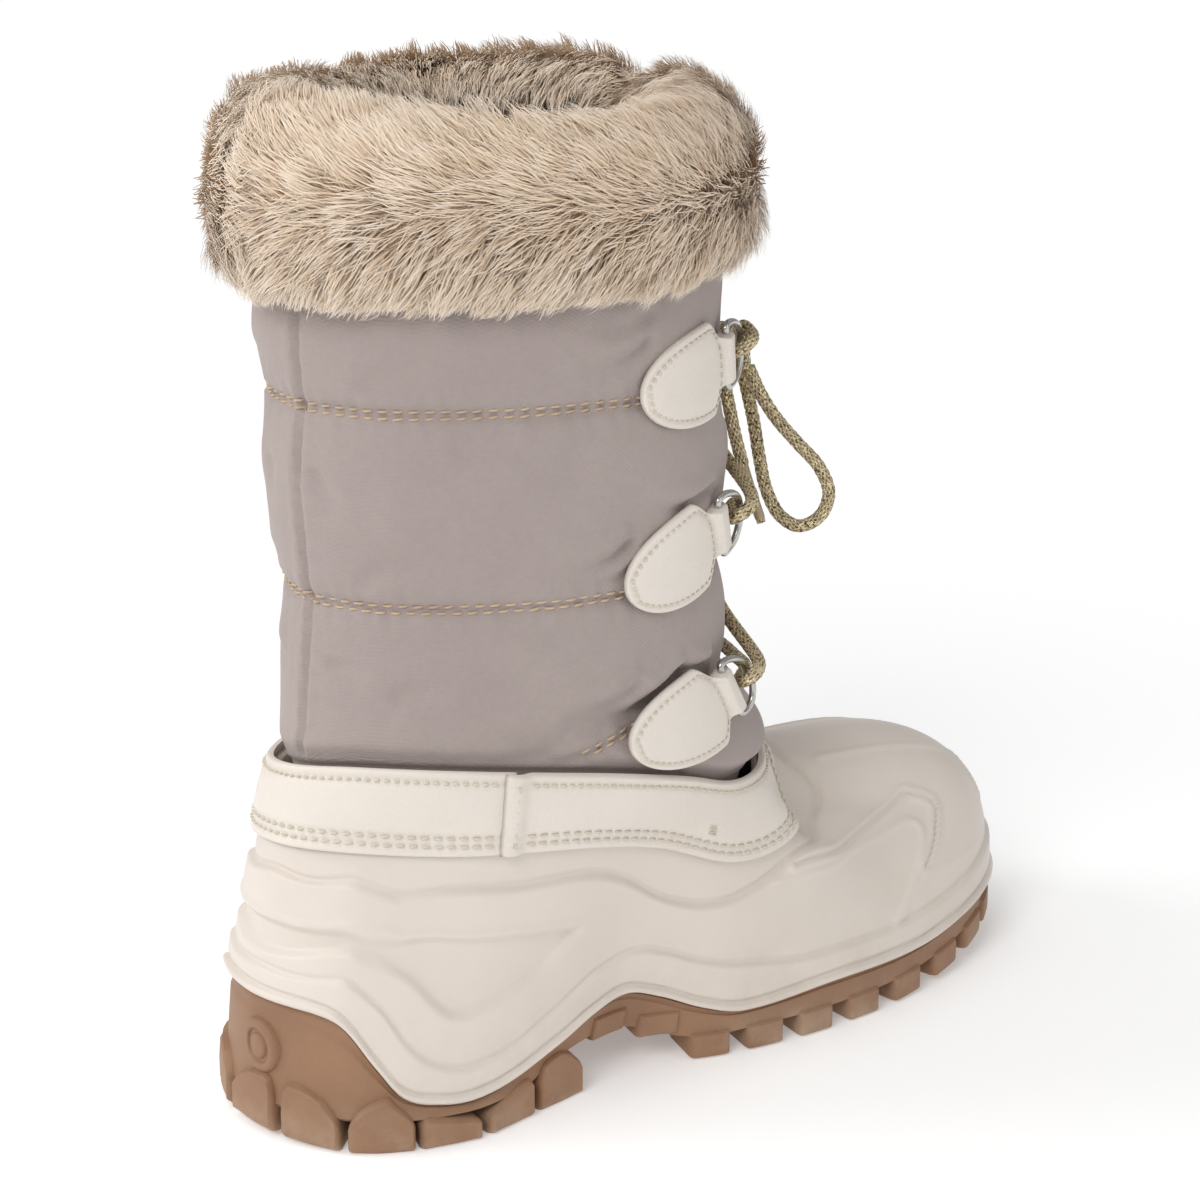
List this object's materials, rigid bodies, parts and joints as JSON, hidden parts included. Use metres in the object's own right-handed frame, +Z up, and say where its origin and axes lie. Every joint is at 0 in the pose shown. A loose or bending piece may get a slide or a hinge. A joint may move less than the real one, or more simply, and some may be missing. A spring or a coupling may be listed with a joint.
{
  "type": "snow boot",
  "caption": "Right-foot snow boot: a moulded rubber foot on a lugged sole, with a quilted leg laced at the front and a fur cuff.",
  "frame": {"origin": "centre of the boot's footprint, on the floor under the lugs", "axes": "+X towards the toe, +Y towards the inner side of the right foot, +Z up along the leg"},
  "size_m": [0.2884, 0.1492, 0.301],
  "materials": {
    "moulded_foot": "smooth satin off-white moulded rubber",
    "sole_rubber": "matte gum-brown rubber",
    "leather": "smooth off-white coated leather",
    "shaft_cloth": "matte grey-taupe brushed microfibre, quilted",
    "fur": "beige long-pile fake fur with brown roots",
    "felt": "brown pile lining",
    "ring_metal": "polished nickel",
    "lace": "beige round braid with gold glitter thread"
  },
  "bodies": {
    "root": {"upper": "moulded_foot", "outsole": "sole_rubber", "insole": "felt", "ankle_band_heel": "leather", "ankle_band_front": "leather", "shaft": "shaft_cloth", "tongue": "shaft_cloth", "fur_collar": "fur", "lace_tab_outer_1": "leather", "d_ring_outer_1": "ring_metal", "lace_tab_outer_2": "leather", "d_ring_outer_2": "ring_metal", "lace_tab_outer_3": "leather", "d_ring_outer_3": "ring_metal", "lace_tab_inner_1": "leather", "d_ring_inner_1": "ring_metal", "lace_tab_inner_2": "leather", "d_ring_inner_2": "ring_metal", "lace_tab_inner_3": "leather", "d_ring_inner_3": "ring_metal", "lace_crossings": "lace", "lace_knot": "lace", "lace_loop_outer": "lace", "lace_loop_inner": "lace", "lace_end_outer": "lace", "lace_end_inner": "lace"}
  },
  "joints": []
}
